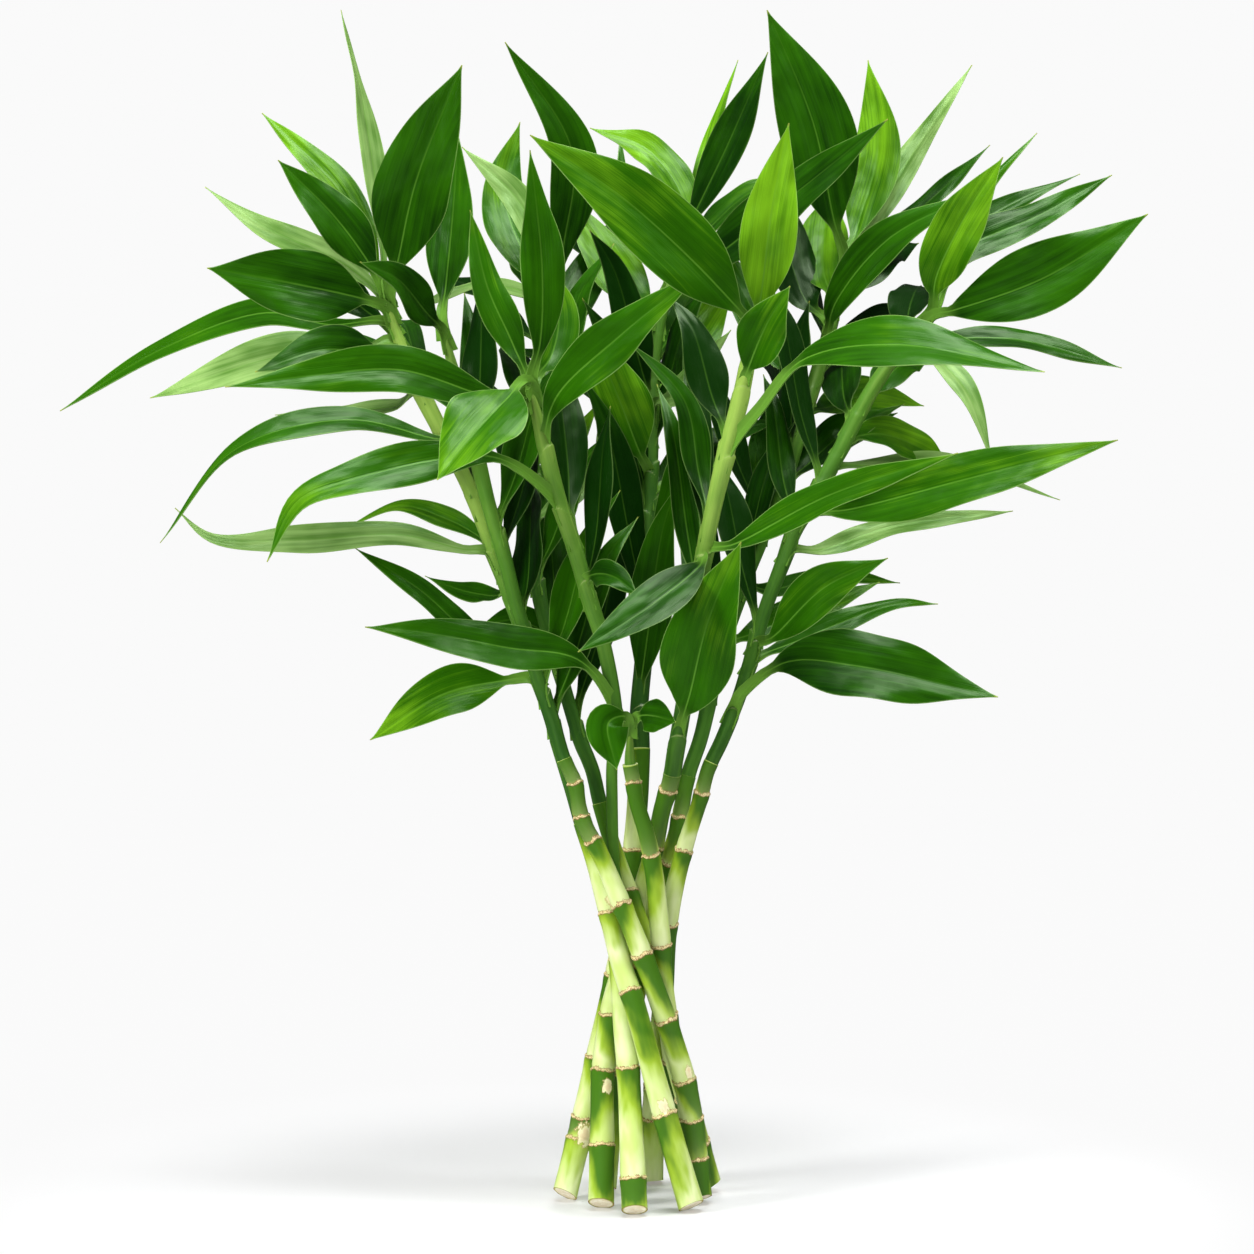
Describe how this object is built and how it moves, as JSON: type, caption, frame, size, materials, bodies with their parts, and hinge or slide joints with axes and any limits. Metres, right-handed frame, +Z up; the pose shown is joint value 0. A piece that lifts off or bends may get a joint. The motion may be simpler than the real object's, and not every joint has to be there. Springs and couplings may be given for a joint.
{
  "type": "lucky bamboo bunch",
  "caption": "Spiralled bunch of cut lucky bamboo stalks that lean on each other and stand on their cut ends, ringed canes below and a wide leafy crown above.",
  "frame": {"origin": "on the surface the bunch stands on, under the middle of its bounding box", "axes": "+Z up along the bunch, +X to the right and -Y towards the viewer of the picture"},
  "size_m": [0.543, 0.2969, 0.6067],
  "materials": {
    "cane": "satin",
    "leaf": "gloss"
  },
  "bodies": {
    "root": {"cane_a": "cane", "cane_b": "cane", "cane_c": "cane", "cane_d": "cane", "cane_e": "cane", "cane_f": "cane", "cane_g": "cane", "cane_h": "cane", "cane_r": "cane", "leafy_shoot_a": "leaf", "leafy_shoot_b": "leaf", "leafy_shoot_c": "leaf", "leafy_shoot_d": "leaf", "leafy_shoot_e": "leaf", "leafy_shoot_f": "leaf", "leafy_shoot_g": "leaf", "leafy_shoot_h": "leaf", "leafy_shoot_r": "leaf"}
  },
  "joints": []
}
